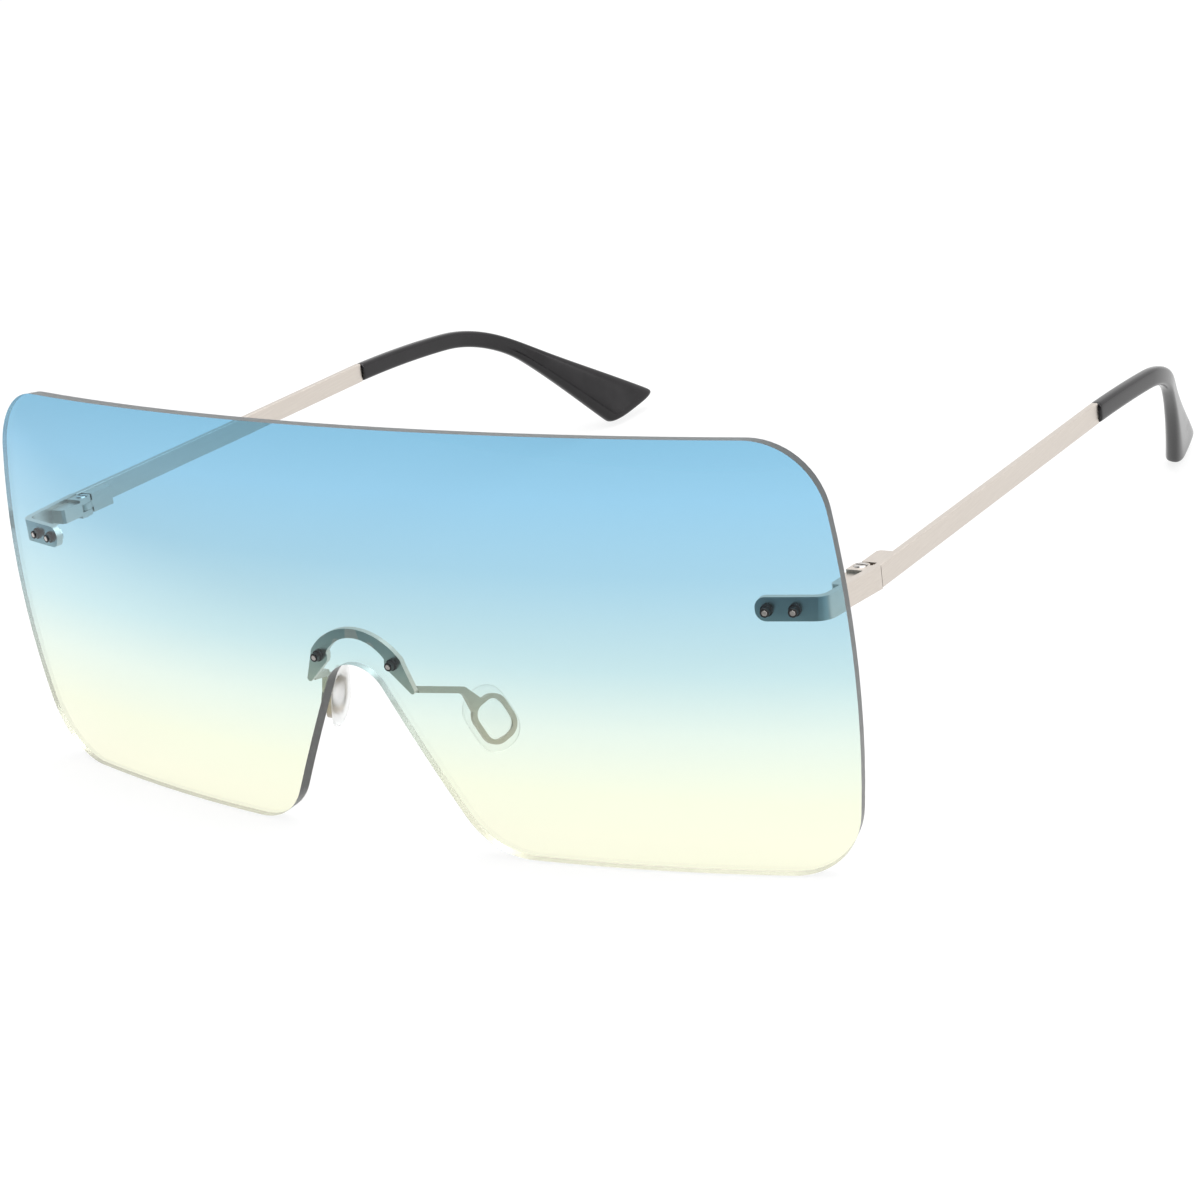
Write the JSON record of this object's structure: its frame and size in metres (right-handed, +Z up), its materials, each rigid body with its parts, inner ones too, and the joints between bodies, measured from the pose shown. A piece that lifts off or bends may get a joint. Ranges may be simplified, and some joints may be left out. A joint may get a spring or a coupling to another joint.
{
  "type": "shield sunglasses",
  "caption": "Rimless shield sunglasses: a wide curved tinted lens with screwed metal bridge and endpieces, silicone nose pads, and folding temples with flared black tips.",
  "frame": {"origin": "middle of the open pair's footprint, on the plane it stands on with the lens's lower edge and both tips", "axes": "+X to the wearer's left, +Y back along the temples, +Z up"},
  "size_m": [0.1509, 0.157, 0.0621],
  "materials": {
    "tinted_lens": "clear polished polycarbonate, tinted blue at the top to pale yellow at the bottom",
    "silver_metal": "brushed warm silver plating",
    "black_tip": "gloss black moulding",
    "clear_silicone": "clear satin silicone"
  },
  "bodies": {
    "front_frame": {"shield_lens": "tinted_lens", "bridge": "silver_metal", "bridge_screws": "silver_metal", "left_endpiece": "silver_metal", "left_endpiece_screws": "silver_metal", "left_pad_arm": "silver_metal", "left_nose_pad": "clear_silicone", "left_hinge_fork": "silver_metal", "left_hinge_screw": "silver_metal", "right_endpiece": "silver_metal", "right_endpiece_screws": "silver_metal", "right_pad_arm": "silver_metal", "right_nose_pad": "clear_silicone", "right_hinge_fork": "silver_metal", "right_hinge_screw": "silver_metal"},
    "left_arm": {"left_temple": "silver_metal", "left_hinge_knuckle": "silver_metal", "left_temple_tip": "black_tip"},
    "right_arm": {"right_temple": "silver_metal", "right_hinge_knuckle": "silver_metal", "right_temple_tip": "black_tip"}
  },
  "joints": [
    {"name": "left_fold", "type": "hinge", "parent": "front_frame", "child": "left_arm", "pos_m": [0.07028, -0.05331, 0.03666], "axis": [0, 0.096, 0.9954], "range_deg": [0, 87]},
    {"name": "right_fold", "type": "hinge", "parent": "front_frame", "child": "right_arm", "pos_m": [-0.07028, -0.05331, 0.03666], "axis": [0, -0.096, -0.9954], "range_deg": [0, 82]}
  ]
}
